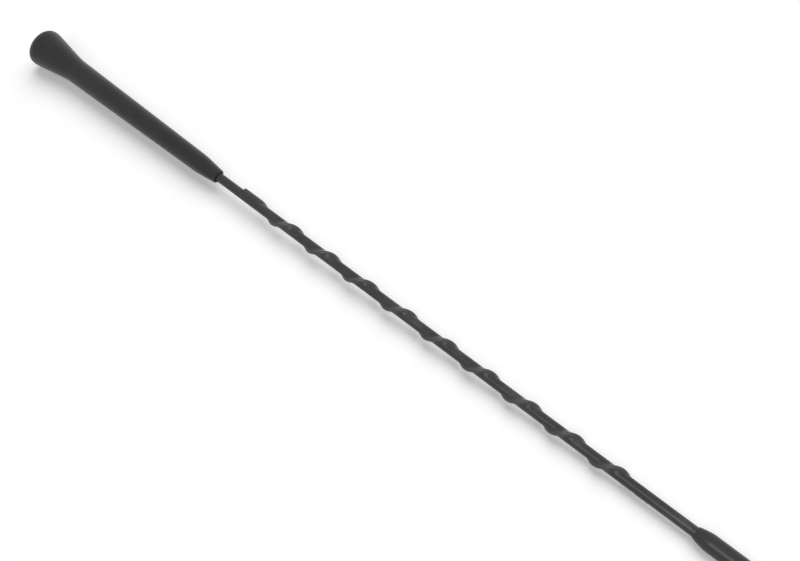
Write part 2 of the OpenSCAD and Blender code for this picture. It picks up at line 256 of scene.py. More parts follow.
def tube(path: Array, radius: Array, sides: int) -> Skin:
    """Carries a circle along a path: p + r (n cos a + b sin a).

    Here n is the direction away from the mast's axis, made square to the path, and b is square to both.

    Args:
        path: Points of the path.
        radius: Radius at each point.
        sides: Number of sides of the circle.

    Returns:
        The closed surface.
    """
    along = np.gradient(path, axis=0)
    along /= np.linalg.norm(along, axis=1, keepdims=True)
    outward = path * [1, 1, 0]
    outward -= along * np.sum(outward * along, axis=1, keepdims=True)
    outward /= np.linalg.norm(outward, axis=1, keepdims=True)
    side = np.cross(along, outward)
    angles = full_turn(sides)
    grid = path[:, None] + radius[:, None, None] * (
        outward[:, None] * np.cos(angles)[:, None] + side[:, None] * np.sin(angles)[:, None]
    )
    return capped_skin(grid, path[0], path[-1])


@dataclass(frozen=True)
class MastLine:
    """The line along which the mast lies.

    Attributes:
        tilt: Angle by which the mast comes down towards its tip, in radians.
        foot_x: Place of the rim's centre along the floor, in millimetres.
        foot_z: Height of the rim's centre, in millimetres.
    """

    tilt: float
    foot_x: float
    foot_z: float

    @classmethod
    def resting_on(cls, boot: Boot, cap: TipCap) -> MastLine:
        """Lays the mast on the widest ring of its boot and the far end of its cap's straight part.

        Args:
            boot: The boot, whose ring has the larger radius.
            cap: The cap, whose dome starts where its straight part ends.

        Returns:
            The line, with the mast's length centred over the origin.
        """
        tilt = np.arctan2(boot.flare_r - cap.radius, cap.dome_z - boot.crest_z)
        cos, sin = np.cos(tilt), np.sin(tilt)
        foot_z = boot.crest_z * sin + boot.flare_r * cos
        rim_reach = boot.rim_round * (cos - 1) - (boot.flare_r - boot.rim_round) * sin
        tip_reach = cap.dome_z * cos + np.hypot(cap.dome_l * cos, cap.radius * sin)
        return cls(float(tilt), float(-(rim_reach + tip_reach) / 2), float(foot_z))

    def place(self, points: Array) -> Array:
        """Lays upright points down: (x0 + z cos t - x sin t, y, z0 - z sin t - x cos t), in metres.

        Args:
            points: Upright points in millimetres.

        Returns:
            The points where the mast lies, in metres.
        """
        x, y, z = np.moveaxis(np.asarray(points, float), -1, 0)
        cos, sin = np.cos(self.tilt), np.sin(self.tilt)
        placed = [self.foot_x + z * cos - x * sin, y, self.foot_z - z * sin - x * cos]
        return np.stack(placed, axis=-1) * MM

    def offset_from(self, node: str, low_z: float, high_z: float) -> float:
        """Measures how far the middle of a plain round solid lies from this line.

        Args:
            node: Name of the solid.
            low_z: Height of its lower end in the drawing.
            high_z: Height of its upper end.

        Returns:
            The distance in millimetres.
        """
        low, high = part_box(node)
        middle = (np.array(low) + np.array(high)) / 2
        drawn = self.place(np.array([0, 0, (low_z + high_z) / 2]))
        return float(np.linalg.norm(middle - drawn) / MM)


# Shader nodes


@dataclass(frozen=True)
class Noise:
    """A noise over the upright drawing.

    Attributes:
        waves: Waves per millimetre.
        detail: Number of finer noises laid over it.
        band: The two values between which a mask made of it goes from 0 to 1.
        scale: What the drawing is scaled by along each direction before the noise is read.
    """

    waves: float
    detail: float
    band: Band = (0.0, 1.0)
    scale: Triple = (1.0, 1.0, 1.0)


class Board:
    """A node tree, with short calls that add nodes to it and join them."""

    def __init__(self, tree: bpy.types.NodeTree) -> None:
        """Takes the tree to which the nodes go."""
        self.tree = tree

    def add(
        self, kind: str, inputs: dict[str | int, object] | None = None, **settings: object
    ) -> bpy.types.Node:
        """Adds one node.

        Args:
            kind: Type name of the node.
            inputs: A value for a socket, or another node's socket to join to it, by name or number.
            settings: Values of the node's own properties.

        Returns:
            The node.
        """
        node = self.tree.nodes.new(kind)
        for name, value in settings.items():
            setattr(node, name, value)
        for name, value in (inputs or {}).items():
            if isinstance(value, Socket):
                self.join(value, node.inputs[name])
            else:
                node.inputs[name].default_value = value
        return node

    def join(self, value: Socket, socket: Socket) -> None:
        """Joins a value to the socket that takes it."""
        self.tree.links.new(value, socket)

    def mast_space(self, line: MastLine) -> Socket:
        """Turns Object coordinates back into the upright drawing.

        Args:
            line: The line along which the mast lies.

        Returns:
            The place in the drawing, in millimetres.
        """
        place = self.add("ShaderNodeTexCoord").outputs["Object"]
        inputs = {
            "Vector": place,
            "Location": (line.foot_x * MM, 0, line.foot_z * MM),
            "Rotation": (0, np.pi / 2 + line.tilt, 0),
            "Scale": (MM, MM, MM),
        }
        return self.add("ShaderNodeMapping", inputs, vector_type="TEXTURE").outputs["Vector"]

    def noise(self, space: Socket, noise: Noise) -> Socket:
        """Adds a noise, and a node that scales the drawing for it where it asks for one.

        Args:
            space: Place in the drawing.
            noise: What the noise is like.

        Returns:
            The noise's value.
        """
        if noise.scale != Noise.scale:
            space = self.add("ShaderNodeMapping", {"Vector": space, "Scale": noise.scale}).outputs["Vector"]
        inputs = {"Vector": space, "Scale": noise.waves, "Detail": noise.detail}
        return self.add("ShaderNodeTexNoise", inputs).outputs[0]

    def ranged(self, value: Socket, start: Band = (0, 1), end: Band = (0, 1)) -> Socket:
        """Carries a value from one band to another: eased between and held beyond both ends.

        Args:
            value: The value.
            start: The band that it comes from.
            end: The band that it goes to.

        Returns:
            The value in its new band.
        """
        inputs = {
            "Value": value,
            "From Min": start[0],
            "From Max": start[1],
            "To Min": end[0],
            "To Max": end[1],
        }
        return self.add("ShaderNodeMapRange", inputs, interpolation_type="SMOOTHSTEP").outputs["Result"]

    def maths(self, operation: str, first: Socket | float, second: Socket | float) -> Socket:
        """Adds one sum, product or other operation on two values."""
        return self.add("ShaderNodeMath", {0: first, 1: second}, operation=operation).outputs[0]

    def mixed(self, share: Socket, low: Colour, high: Colour) -> Socket:
        """Mixes two colours.

        Args:
            share: Share of the second colour, which changes over the surface.
            low: First colour.
            high: Second colour.

        Returns:
            The mixed colour.
        """
        factor, first, second, result = 0, 6, 7, 2
        inputs = {factor: share, first: (*low, 1), second: (*high, 1)}
        return self.add("ShaderNodeMix", inputs, data_type="RGBA").outputs[result]

    def mark(self, name: str) -> Socket:
        """Reads a named value that a piece carries at its points."""
        return self.add("ShaderNodeAttribute", attribute_name=name, attribute_type="GEOMETRY").outputs["Fac"]

    def seen(self) -> Socket:
        """Makes a mask of the rays that come from the camera, a reflection or a clear body.

        Returns:
            The mask.
        """
        path = self.add("ShaderNodeLightPath").outputs
        either = self.maths("MAXIMUM", path["Is Camera Ray"], path["Is Glossy Ray"])
        return self.maths("MAXIMUM", either, path["Is Transmission Ray"])

    def placed(self, tree: bpy.types.NodeTree, **values: float) -> bpy.types.Node:
        """Places an effect.

        Args:
            tree: The effect's node group.
            values: The group's values, by their names in small letters.

        Returns:
            The group's node.
        """
        inputs = {name.capitalize(): value for name, value in values.items()}
        return self.add("ShaderNodeGroup", inputs, node_tree=tree)


def effect(
    name: str, inputs: dict[str, float], outputs: tuple[str, ...]
) -> tuple[Board, bpy.types.Node, bpy.types.Node]:
    """Starts a shader node group with named sockets.

    Args:
        name: Name of the group.
        inputs: Names of its input values, with the value each starts from.
        outputs: Names of its output values.

    Returns:
        The group's board, its input node and its output node.
    """
    group = bpy.data.node_groups.new(name, "ShaderNodeTree")
    for socket_name, value in inputs.items():
        socket = group.interface.new_socket(socket_name, in_out="INPUT", socket_type="NodeSocketFloat")
        socket.default_value = value
    for socket_name in outputs:
        group.interface.new_socket(socket_name, in_out="OUTPUT", socket_type="NodeSocketFloat")
    board = Board(group)
    return board, board.add("NodeGroupInput"), board.add("NodeGroupOutput")


class Effects:
    """The effects that several finishes share, each a node group that is built once.

    Attributes:
        FINE: Fine grain of a moulded surface.
        COARSE: Slower waves of a moulded surface, which its tone follows too.
        PATCHES: Patches rubbed by handling, drawn out along the mast.
        SPECKS: Specks of dust.
        SPECK_SHARE: How much a speck shows beside a rubbed patch.
        LINES: Fine lines along a drawn, pultruded or extruded piece.
        PEEL: Slow waves in the surface of such a piece.
        RINGS: Rings that a cutting tool leaves round a turned piece.
        BLOTCHES: Patches where the metal has gone dull.
    """

    FINE = Noise(waves=5.5, detail=2)
    COARSE = Noise(waves=0.9, detail=3, band=(0.35, 0.65))
    PATCHES = Noise(waves=0.28, detail=4, band=(0.45, 0.72), scale=(1, 1, 0.35))
    SPECKS = Noise(waves=3.1, detail=1, band=(0.62, 0.74))
    SPECK_SHARE = 0.6
    LINES = Noise(waves=4.0, detail=3, band=(0.38, 0.62), scale=(1, 1, 0.03))
    PEEL = Noise(waves=1.1, detail=2)
    RINGS = Noise(waves=9.0, detail=2, scale=(0.02, 0.02, 1))
    BLOTCHES = Noise(waves=0.8, detail=4, band=(0.42, 0.66))

    def __init__(self, line: MastLine) -> None:
        """Builds the groups.

        Args:
            line: The line along which the mast lies.
        """
        self.line = line
        self.grain = self._grain()
        self.handling = self._handling()
        self.drawn = self._drawn()
        self.turned = self._turned()

    def _grain(self) -> bpy.types.NodeTree:
        """Relief of a moulded surface: fine + coarse * Coarse.

        Returns:
            A group that gives the relief as Height and a slower change of tone as Tone.
        """
        board, given, made = effect("moulded_grain", {"Coarse": 0.35}, ("Height", "Tone"))
        space = board.mast_space(self.line)
        fine = board.noise(space, self.FINE)
        coarse = board.noise(space, self.COARSE)
        share = board.maths("MULTIPLY", coarse, given.outputs["Coarse"])
        board.join(board.maths("ADD", fine, share), made.inputs["Height"])
        board.join(board.ranged(coarse, self.COARSE.band), made.inputs["Tone"])
        return board.tree

    def _handling(self) -> bpy.types.NodeTree:
        """Faint rubbed patches and specks of dust from handling: the larger of the two, times Amount.

        Returns:
            A group that gives them as Mask.
        """
        board, given, made = effect("handling_marks", {"Amount": 1.0}, ("Mask",))
        space = board.mast_space(self.line)
        patches = board.ranged(board.noise(space, self.PATCHES), self.PATCHES.band)
        specks = board.ranged(board.noise(space, self.SPECKS), self.SPECKS.band)
        both = board.maths("MAXIMUM", patches, board.maths("MULTIPLY", specks, self.SPECK_SHARE))
        board.join(board.maths("MULTIPLY", both, given.outputs["Amount"]), made.inputs["Mask"])
        return board.tree

    def _drawn(self) -> bpy.types.NodeTree:
        """Fine lines along a drawn, pultruded or extruded piece: lines + slow waves * Waviness.

        Returns:
            A group that gives the sum as Height and a mask of the lines as Tone.
        """
        board, given, made = effect("drawn_lines", {"Waviness": 0.3}, ("Height", "Tone"))
        space = board.mast_space(self.line)
        lines = board.noise(space, self.LINES)
        share = board.maths("MULTIPLY", board.noise(space, self.PEEL), given.outputs["Waviness"])
        board.join(board.maths("ADD", lines, share), made.inputs["Height"])
        board.join(board.ranged(lines, self.LINES.band), made.inputs["Tone"])
        return board.tree

    def _turned(self) -> bpy.types.NodeTree:
        """Rings that a cutting tool leaves round a turned piece, and duller patches times Blotches.

        Returns:
            A group that gives the rings as Height and the patches as Tone.
        """
        board, given, made = effect("turning_rings", {"Blotches": 0.5}, ("Height", "Tone"))
        space = board.mast_space(self.line)
        blotches = board.ranged(board.noise(space, self.BLOTCHES), self.BLOTCHES.band)
        board.join(board.noise(space, self.RINGS), made.inputs["Height"])
        board.join(board.maths("MULTIPLY", blotches, given.outputs["Blotches"]), made.inputs["Tone"])
        return board.tree


@dataclass(frozen=True)
class Finish:
    """What every finish has: its colours, its gloss and the depth of its relief.

    Attributes:
        name: Name of the material.
        slot: Name of the material slot; not used.
        tone: Main colour.
        worn: Colour where the tone changes.
        gloss: Roughness at the two ends of the change.
        relief: Depth of the relief in millimetres.
    """

    name: str
    slot: str
    tone: Colour
    worn: Colour
    gloss: Band
    relief: float

    def settings(self) -> dict[str, float]:
        """Values that are the same all over the surface, by the shader's own sockets."""
        return {}

    def pattern(self, board: Board, effects: Effects) -> tuple[Socket, Socket]:
        """Places the effects of this finish.

        Args:
            board: The material's board.
            effects: The shared effects.

        Returns:
            The share of the worn colour and the height of the relief.
        """
        raise NotImplementedError

    def dress(self, effects: Effects) -> bpy.types.Material:
        """Builds the material: colour and roughness change by the same share, and the relief is a bump.

        Args:
            effects: The shared effects.

        Returns:
            The material.
        """
        material = bpy.data.materials.new(self.name)
        material.use_nodes = True
        material.diffuse_color = (*self.tone, 1)
        board = Board(material.node_tree)
        shader = material.node_tree.nodes["Principled BSDF"].inputs
        for name, value in self.settings().items():
            shader[name].default_value = value
        share, height = self.pattern(board, effects)
        board.join(board.mixed(share, self.tone, self.worn), shader["Base Color"])
        board.join(board.ranged(share, end=self.gloss), shader["Roughness"])
        relief = {"Height": height, "Strength": 1.0, "Distance": self.relief * MM}
        board.join(board.add("ShaderNodeBump", relief).outputs["Normal"], shader["Normal"])
        return material


@dataclass(frozen=True)
class Moulded(Finish):
    """Moulded rubber or plastic: fine grain, faint handling marks, and pale dust on rims that carry a mark.

    Attributes:
        coarse: Share of the coarse relief.
        marks: Amount of handling marks.
        reflects: Specular level.
        sheen: Weight and roughness of the soft light that fine rubber shows towards its edges.
        rim_mark: Name of the value at the points where dust gathers, or nothing.
        dusty: The two values, of the mark times the tone, between which the dust comes in.
    """

    coarse: float = 0.35
    marks: float = 0.5
    reflects: float = 0.4
    sheen: Band = (0.0, 0.5)
    rim_mark: str = ""
    dusty: Band = (0.1, 0.9)

    def settings(self) -> dict[str, float]:
        """Values that are the same all over the surface, by the shader's own sockets."""
        weight, roughness = self.sheen
        return {"Specular IOR Level": self.reflects, "Sheen Weight": weight, "Sheen Roughness": roughness}

    def pattern(self, board: Board, effects: Effects) -> tuple[Socket, Socket]:
        """Places the grain, the handling marks and the dust.

        Args:
            board: The material's board.
            effects: The shared effects.

        Returns:
            The share of the worn colour and the height of the relief.
        """
        grain = board.placed(effects.grain, coarse=self.coarse).outputs
        share = board.placed(effects.handling, amount=self.marks).outputs["Mask"]
        if self.rim_mark:
            rim = board.maths("MULTIPLY", board.mark(self.rim_mark), grain["Tone"])
            share = board.maths("MAXIMUM", share, board.ranged(rim, self.dusty))
        return share, grain["Height"]


@dataclass(frozen=True)
class Shrunk(Finish):
    """Heat-shrunk plastic: drawn lines on an even skin, glossier and paler where it is stretched. The paler
    colour there is partly the thinned skin and partly a painted highlight along the ridge over the cord.

    Attributes:
        stretch_mark: Name of the value at the points that says how far the skin is stretched, or nothing.
        stretch_and_highlight_share: Share of the worn colour where the skin is stretched most, partly for
            the thinned skin and partly as a painted highlight.
        waviness: Share of the slow waves in the skin.
        marks: Amount of handling marks.
        reflects: Specular level.
    """

    stretch_mark: str = ""
    stretch_and_highlight_share: float = 0.8
    waviness: float = 0.6
    marks: float = 0.4
    reflects: float = 0.52

    def settings(self) -> dict[str, float]:
        """Values that are the same all over the surface, by the shader's own sockets."""
        return {"Specular IOR Level": self.reflects}

    def pattern(self, board: Board, effects: Effects) -> tuple[Socket, Socket]:
        """Places the drawn lines, the handling marks and the stretched skin, whose paler colour also paints
        a highlight on the ridge.

        Args:
            board: The material's board.
            effects: The shared effects.

        Returns:
            The share of the worn colour and the height of the relief.
        """
        drawn = board.placed(effects.drawn, waviness=self.waviness).outputs
        share = board.placed(effects.handling, amount=self.marks).outputs["Mask"]
        # Where the skin is stretched the worn colour comes in: partly the thinned skin, partly a painted
        # highlight on the ridge over the cord.
        if self.stretch_mark:
            stretched = board.maths("MULTIPLY", board.mark(self.stretch_mark), self.stretch_and_highlight_share)
            share = board.maths("MAXIMUM", share, stretched)
        return share, drawn["Height"]


@dataclass(frozen=True)
class Turned(Finish):
    """Turned or plated metal, with rings from the tool and duller patches.

    Attributes:
        blotches: Amount of dulled patches.
    """

    blotches: float = 0.5

    def settings(self) -> dict[str, float]:
        """Values that are the same all over the surface, by the shader's own sockets."""
        return {"Metallic": 1.0}

    def pattern(self, board: Board, effects: Effects) -> tuple[Socket, Socket]:
        """Places the tool's rings and the dulled patches.

        Args:
            board: The material's board.
            effects: The shared effects.

        Returns:
            The share of the worn colour and the height of the relief.
        """
        rings = board.placed(effects.turned, blotches=self.blotches).outputs
        return rings["Tone"], rings["Height"]


@dataclass(frozen=True)
class Drawn(Finish):
    """A drawn or pultruded piece, with fine lines along it.

    Attributes:
        metal: Whether it is a metal.
        lacquer: Weight of the clear coat over it.
        waviness: Share of the slow waves in the surface.
    """

    metal: bool = False
    lacquer: float = 0.0
    waviness: float = 0.2

    def settings(self) -> dict[str, float]:
        """Values that are the same all over the surface, by the shader's own sockets."""
        return {"Metallic": float(self.metal), "Coat Weight": self.lacquer}

    def pattern(self, board: Board, effects: Effects) -> tuple[Socket, Socket]:
        """Places the drawn lines.

        Args:
            board: The material's board.
            effects: The shared effects.

        Returns:
            The share of the worn colour and the height of the relief.
        """
        drawn = board.placed(effects.drawn, waviness=self.waviness).outputs
        return drawn["Tone"], drawn["Height"]


@dataclass(frozen=True)
class Finishes:
    """All the finishes of the mast.

    Attributes:
        rubber: Matt rubber of the boot.
        cap: Satin plastic of the tip cap.
        sleeve: Black sleeve over the rod and the cord.
        coil_sleeve: Sleeve over the coil.
        steel: Zinc-plated steel of the stud.
        brass: Turned brass of the ferrule and the collar.
        former: Plastic of the coil's former.
        copper: Enamelled copper of the coil and the radiator wire.
        fibreglass: Pultruded core of the rod.
        cord: Pale cord under the sleeve.
    """

    rubber: Moulded = Moulded(
        name="boot_rubber_matt", slot="boot_rubber", tone=(0.011, 0.011, 0.0113), worn=(0.024, 0.024, 0.024),
        gloss=(0.5, 0.6), relief=0.012, marks=0.35, reflects=0.16, sheen=(0.33, 0.58), rim_mark="rim",
    )
    cap: Moulded = Moulded(
        name="cap_plastic_satin", slot="cap_plastic", tone=(0.01, 0.01, 0.0103), worn=(0.028, 0.028, 0.028),
        gloss=(0.34, 0.4), relief=0.01, marks=0.3, reflects=0.5, rim_mark="rim",
    )
    # The sleeve's worn colour, far paler than its tone, also paints the highlight on the stretched ridge
    # over the cord.
    sleeve: Shrunk = Shrunk(
        name="shrunk_sleeve_satin", slot="shrink_plastic", tone=(0.009, 0.009, 0.0092),
        worn=(0.065, 0.065, 0.066), gloss=(0.34, 0.26), relief=0.012, stretch_mark="stretch",
    )
    coil_sleeve: Shrunk = Shrunk(
        name="coil_sleeve_satin", slot="shrink_plastic", tone=(0.04, 0.04, 0.042), worn=(0.06, 0.06, 0.06),
        gloss=(0.4, 0.5), relief=0.01,
    )
    steel: Turned = Turned(
        name="zinc_plated_steel", slot="stud_steel", tone=(0.62, 0.62, 0.64), worn=(0.45, 0.45, 0.44),
        gloss=(0.28, 0.45), relief=0.01,
    )
    brass: Turned = Turned(
        name="turned_brass", slot="turned_brass", tone=(0.72, 0.56, 0.26), worn=(0.5, 0.36, 0.16),
        gloss=(0.26, 0.45), relief=0.008,
    )
    former: Moulded = Moulded(
        name="former_plastic_matt", slot="former_plastic", tone=(0.15, 0.15, 0.16), worn=(0.2, 0.2, 0.2),
        gloss=(0.5, 0.6), relief=0.01,
    )
    copper: Drawn = Drawn(
        name="enamelled_copper", slot="copper_wire", tone=(0.66, 0.3, 0.16), worn=(0.5, 0.2, 0.1),
        gloss=(0.25, 0.35), relief=0.003, metal=True, lacquer=0.6,
    )
    fibreglass: Drawn = Drawn(
        name="pultruded_fibreglass", slot="fibreglass", tone=(0.66, 0.63, 0.46), worn=(0.76, 0.74, 0.6),
        gloss=(0.32, 0.45), relief=0.008, lacquer=0.2,
    )
    cord: Drawn = Drawn(
        name="drawn_cord", slot="cord_plastic", tone=(0.62, 0.62, 0.6), worn=(0.7, 0.7, 0.68),
        gloss=(0.36, 0.46), relief=0.006,
    )


# Pieces


@dataclass(frozen=True)
class Workshop:
    """Puts finished surfaces into the scene.

    Attributes:
        line: The line along which the mast lies.
        effects: The shared effects.
        nodes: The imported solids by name.
    """

    line: MastLine
    effects: Effects
    nodes: dict[str, bpy.types.Object]

    def stand(self, name: str, skin: Skin, finish: Finish, node: str, crease: float = 32) -> None:
        """Makes a piece that stands for a solid.

        Args:
            name: Name of the piece.
            skin: Its surface in the upright drawing.
            finish: Its finish.
            node: The solid that it stands for.
            crease: Angle in degrees over which an edge stays sharp.
        """
        mesh = bpy.data.meshes.new(name)
        mesh.from_pydata(self.line.place(skin.points).tolist(), [], skin.faces)
        for mark, values in skin.marks.items():
            mesh.attributes.new(mark, "FLOAT", "POINT").data.foreach_set("value", values.astype(np.float32))
        mesh.shade_smooth()
        mesh.set_sharp_from_angle(angle=np.radians(crease))
        mesh.materials.append(finish.dress(self.effects))
        piece = bpy.data.objects.new(name, mesh)
        bpy.context.scene.collection.objects.link(piece)
        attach(piece, BODY)
        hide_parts(node)
        log.info("%s stands for %s: %d faces", name, node, len(skin.faces))

    def keep(self, node: str, finish: Finish) -> None:
        """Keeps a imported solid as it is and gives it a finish.

        Args:
            node: Name of the solid.
            finish: Its finish.
        """
        mesh = self.nodes[node].data
        mesh.materials.clear()
        mesh.materials.append(finish.dress(self.effects))
        log.info("%s keeps its own shape", node)


@dataclass(frozen=True)
class Fit:
    """Sizes that several pieces share, in millimetres.

    Attributes:
        gap: Room between neighbours.
        rod_r: Radius of the fibreglass rod.
        radiator_wire_r: Radius of the wire that runs up the rod.
        sleeve_wall_boot: Wall of the sleeve at the boot's nose.
        sleeve_wall_tip: Wall of the sleeve at the end of the cap's socket.
        boot_l: Length of the boot.
        exposed_l: Length of the mast between boot and cap.
        nose_cover_l: Length of the boot beyond the coil's collar.
        socket_l: Depth of the cap's socket.
    """

    gap: float = 0.05
    rod_r: float = 1.4
    radiator_wire_r: float = 0.125
    sleeve_wall_boot: float = 0.4
    sleeve_wall_tip: float = 0.57
    boot_l: float = 119.0
    exposed_l: float = 258.0
    nose_cover_l: float = 22.5
    socket_l: float = 18.0

    @property
    def radiator_r(self) -> float:
        """Radius at which the radiator wire lies."""
        return self.rod_r + self.gap + self.radiator_wire_r

    @property
    def bore_r(self) -> float:
        """Radius of the sleeve's bore."""
        return self.radiator_r + self.radiator_wire_r + self.gap

    @property
    def cap_z(self) -> float:
        """Height of the cap's lip."""
        return self.boot_l + self.exposed_l

    @property
    def socket_z(self) -> float:
        """Height of the end of the cap's socket."""
        return self.cap_z + self.socket_l

    @property
    def collar_top_z(self) -> float:
        """Height of the top of the coil's collar."""
        return self.boot_l - self.nose_cover_l

    def wall(self, z: Array) -> Array:
        """Wall of the sleeve at each height: it grows evenly from the boot's nose to the cap's socket."""
        share = np.maximum(0, z - self.boot_l) / (self.socket_z - self.boot_l)
        return self.sleeve_wall_boot + (self.sleeve_wall_tip - self.sleeve_wall_boot) * share


@dataclass(frozen=True)
class BaseFerrule:
    """Turned brass ferrule in the foot of the boot: flange, grooved barrel and neck, in millimetres.

    Attributes:
        foot_z: Height of the flange's face over the boot's rim.
        flange_r: Radius of the flange.
        flange_h: Height of the flange.
        barrel_r: Radius of the barrel.
        barrel_l: Length of the barrel.
        neck_r: Radius of the neck.
        neck_l: Length of the neck.
        groove_w: Width of each groove that the rubber grips.
        groove_h: Depth of each groove.
        grooves: Number of grooves.
        stud_bore_r: Radius of the stud's bore.
        stud_bore_l: Depth of the stud's bore.
        rod_bore_r: Radius of the rod's bore.
        rod_seat: Depth of the rod's bore.
        edge: Distance over which the edges are eased.
        around: Number of angles in a turn.
    """

    foot_z: float = 9.0
    flange_r: float = 5.2
    flange_h: float = 2.0
    barrel_r: float = 3.8
    barrel_l: float = 15.0
    neck_r: float = 2.2
    neck_l: float = 6.0
    groove_w: float = 1.6
    groove_h: float = 0.5
    grooves: int = 3
    stud_bore_r: float = 2.55
    stud_bore_l: float = 7.05
    rod_bore_r: float = 1.45
    rod_seat: float = 12.05
    edge: float = 0.2
    around: int = 144

    @property
    def barrel_z(self) -> float:
        """Height of the barrel's foot."""
        return self.foot_z + self.flange_h

    @property
    def neck_z(self) -> float:
        """Height of the neck's foot."""
        return self.barrel_z + self.barrel_l

    @property
    def top_z(self) -> float:
        """Height of the neck's top."""
        return self.neck_z + self.neck_l

    def outline(self) -> Array:
        """Outline from the axis out of the stud's bore, up the outside and down the rod's bore to the axis.

        The grooves stand evenly along the barrel, and a web is left between the two bores.

        Returns:
            Points as radius and height.
        """
        step = self.barrel_l / (self.grooves + 1)
        middle = self.barrel_z + step * (1 + np.arange(self.grooves))
        half = self.groove_w / 2
        deep = self.barrel_r - self.groove_h
        heights = np.stack([middle - half, middle - half, middle + half, middle + half], axis=1).reshape(-1)
        radii = np.tile([self.barrel_r, deep, deep, self.barrel_r], self.grooves)
        web_low = self.foot_z + self.stud_bore_l
        web_high = self.top_z - self.rod_seat
        return np.concatenate([
            [[0, web_low], [self.stud_bore_r, web_low], [self.stud_bore_r, self.foot_z]],
            [[self.flange_r, self.foot_z], [self.flange_r, self.barrel_z], [self.barrel_r, self.barrel_z]],
            np.stack([radii, heights], axis=1),
            [[self.barrel_r, self.neck_z], [self.neck_r, self.neck_z], [self.neck_r, self.top_z]],
            [[self.rod_bore_r, self.top_z], [self.rod_bore_r, web_high], [0, web_high]],
        ])

    def build(self, shop: Workshop, finish: Finish) -> None:
        """Makes the ferrule."""
        skin = turned_solid(eased_corners(self.outline(), self.edge), self.around)
        shop.stand("ferrule_turned", skin, finish, "base_ferrule")


@dataclass(frozen=True)
class ThreadedStud:
    """Steel stud with a metric thread, in millimetres.

    Attributes:
        major_r: Radius over the thread's crests.
        pitch: Climb of one turn.
        depth: Depth of the thread.
        flat: Share of the pitch that is flat at the crest, and again at the root.
        chamfer: Height of the cone at each end.
        out_l: Length outside the ferrule.
        in_l: Length inside the ferrule.
        relief_w: Width of the plain neck at the ferrule's face.
        relief_r: Radius of that neck.
        face_z: Height of the ferrule's face.
        hand: Sense of the thread.
        around: Number of angles in a turn.
        steps_per_pitch: Number of rows in the climb of one turn.
        crease: Angle in degrees over which an edge stays sharp.
    """

    major_r: float = 2.5
    pitch: float = 0.8
    depth: float = 0.49
    flat: float = 0.125
    chamfer: float = 0.6
    out_l: float = 8.0
    in_l: float = 7.0
    relief_w: float = 0.8
    relief_r: float = 2.1
    face_z: float = 9.0
    hand: Hand = Hand.RIGHT
    around: int = 96
    steps_per_pitch: int = 20
    crease: float = 50.0

    def skin(self) -> Skin:
        """Surface r(a, z): a flattened triangle wave of z / pitch - a / turn, cut by a cone at each end.

        In the relief at the ferrule's face the radius is the relief's own.

        Returns:
            The closed surface.
        """
        foot = self.face_z - self.out_l
        length = self.out_l + self.in_l
        rows = int(length / self.pitch * self.steps_per_pitch)
        z = foot + length * np.linspace(0, 1, rows + 1)[:, None]
        angles = full_turn(self.around)
        phase = (z / self.pitch - self.hand.value * angles / TURN) % 1
        wave = np.abs(2 * phase - 1)
        flank = np.clip((wave - self.flat) / (1 - 2 * self.flat), 0, 1)
        r = self.major_r - self.depth * (1 - flank)
        from_end = np.minimum(z - foot, foot + length - z)
        r = np.minimum(r, self.major_r - self.chamfer + from_end)
        in_relief = (z > self.face_z - self.relief_w) & (z < self.face_z)
        r = np.where(in_relief, np.minimum(r, self.relief_r), r)
        return capped_skin(round_mast(r, angles, z), [0, 0, foot], [0, 0, foot + length])

    def build(self, shop: Workshop, finish: Finish) -> None:
        """Makes the stud."""
        shop.stand("stud_threaded", self.skin(), finish, "threaded_stud", self.crease)


